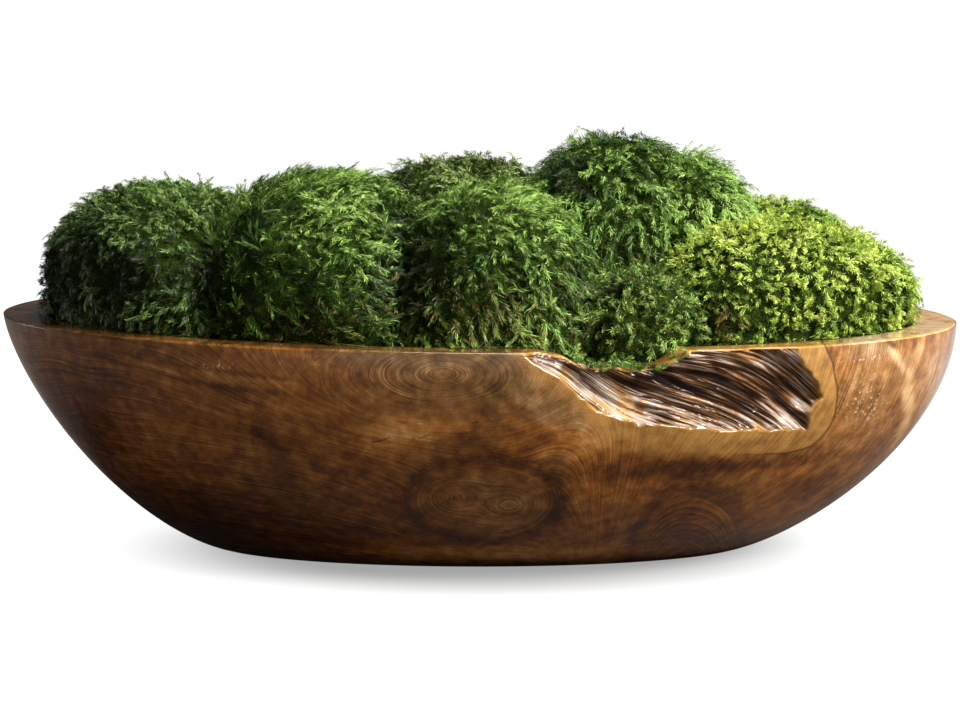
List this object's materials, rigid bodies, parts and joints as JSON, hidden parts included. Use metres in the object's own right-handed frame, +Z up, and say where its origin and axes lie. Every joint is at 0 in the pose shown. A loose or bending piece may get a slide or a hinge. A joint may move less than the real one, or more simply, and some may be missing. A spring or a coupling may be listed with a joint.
{
  "type": "moss bowl garden",
  "caption": "Low oval wooden bowl with a natural hollow in its front wall, filled with dry foam and heaped with rounded cushions of preserved moss.",
  "frame": {"origin": "on the surface the bowl stands on, under the middle of its rim", "axes": "+X along the bowl's length, to the right when its hollowed front faces the viewer, +Y to the back, +Z up"},
  "size_m": [0.6098, 0.4298, 0.2639],
  "materials": {
    "oiled_teak": "sanded and lacquered root wood with rings, knots and a pale sapwood band",
    "dry_foam": "matte dry foam, hidden under the moss",
    "deep_moss": "preserved moss, dark green",
    "green_moss": "preserved moss, fresh green",
    "olive_moss": "preserved moss, olive green",
    "yellow_moss": "preserved moss, yellow green"
  },
  "bodies": {
    "root": {"bowl": "oiled_teak", "foam_bed": "dry_foam", "moss_left_end": "deep_moss", "moss_left_back": "deep_moss", "moss_left_front": "green_moss", "moss_centre_front": "green_moss", "moss_centre_back": "olive_moss", "moss_tall": "green_moss", "moss_tall_right": "green_moss", "moss_notch": "green_moss", "moss_right_front": "yellow_moss", "moss_right_back": "yellow_moss", "moss_right_end": "yellow_moss", "moss_back_left": "deep_moss", "moss_back_middle": "olive_moss", "moss_back_right": "green_moss"}
  },
  "joints": []
}
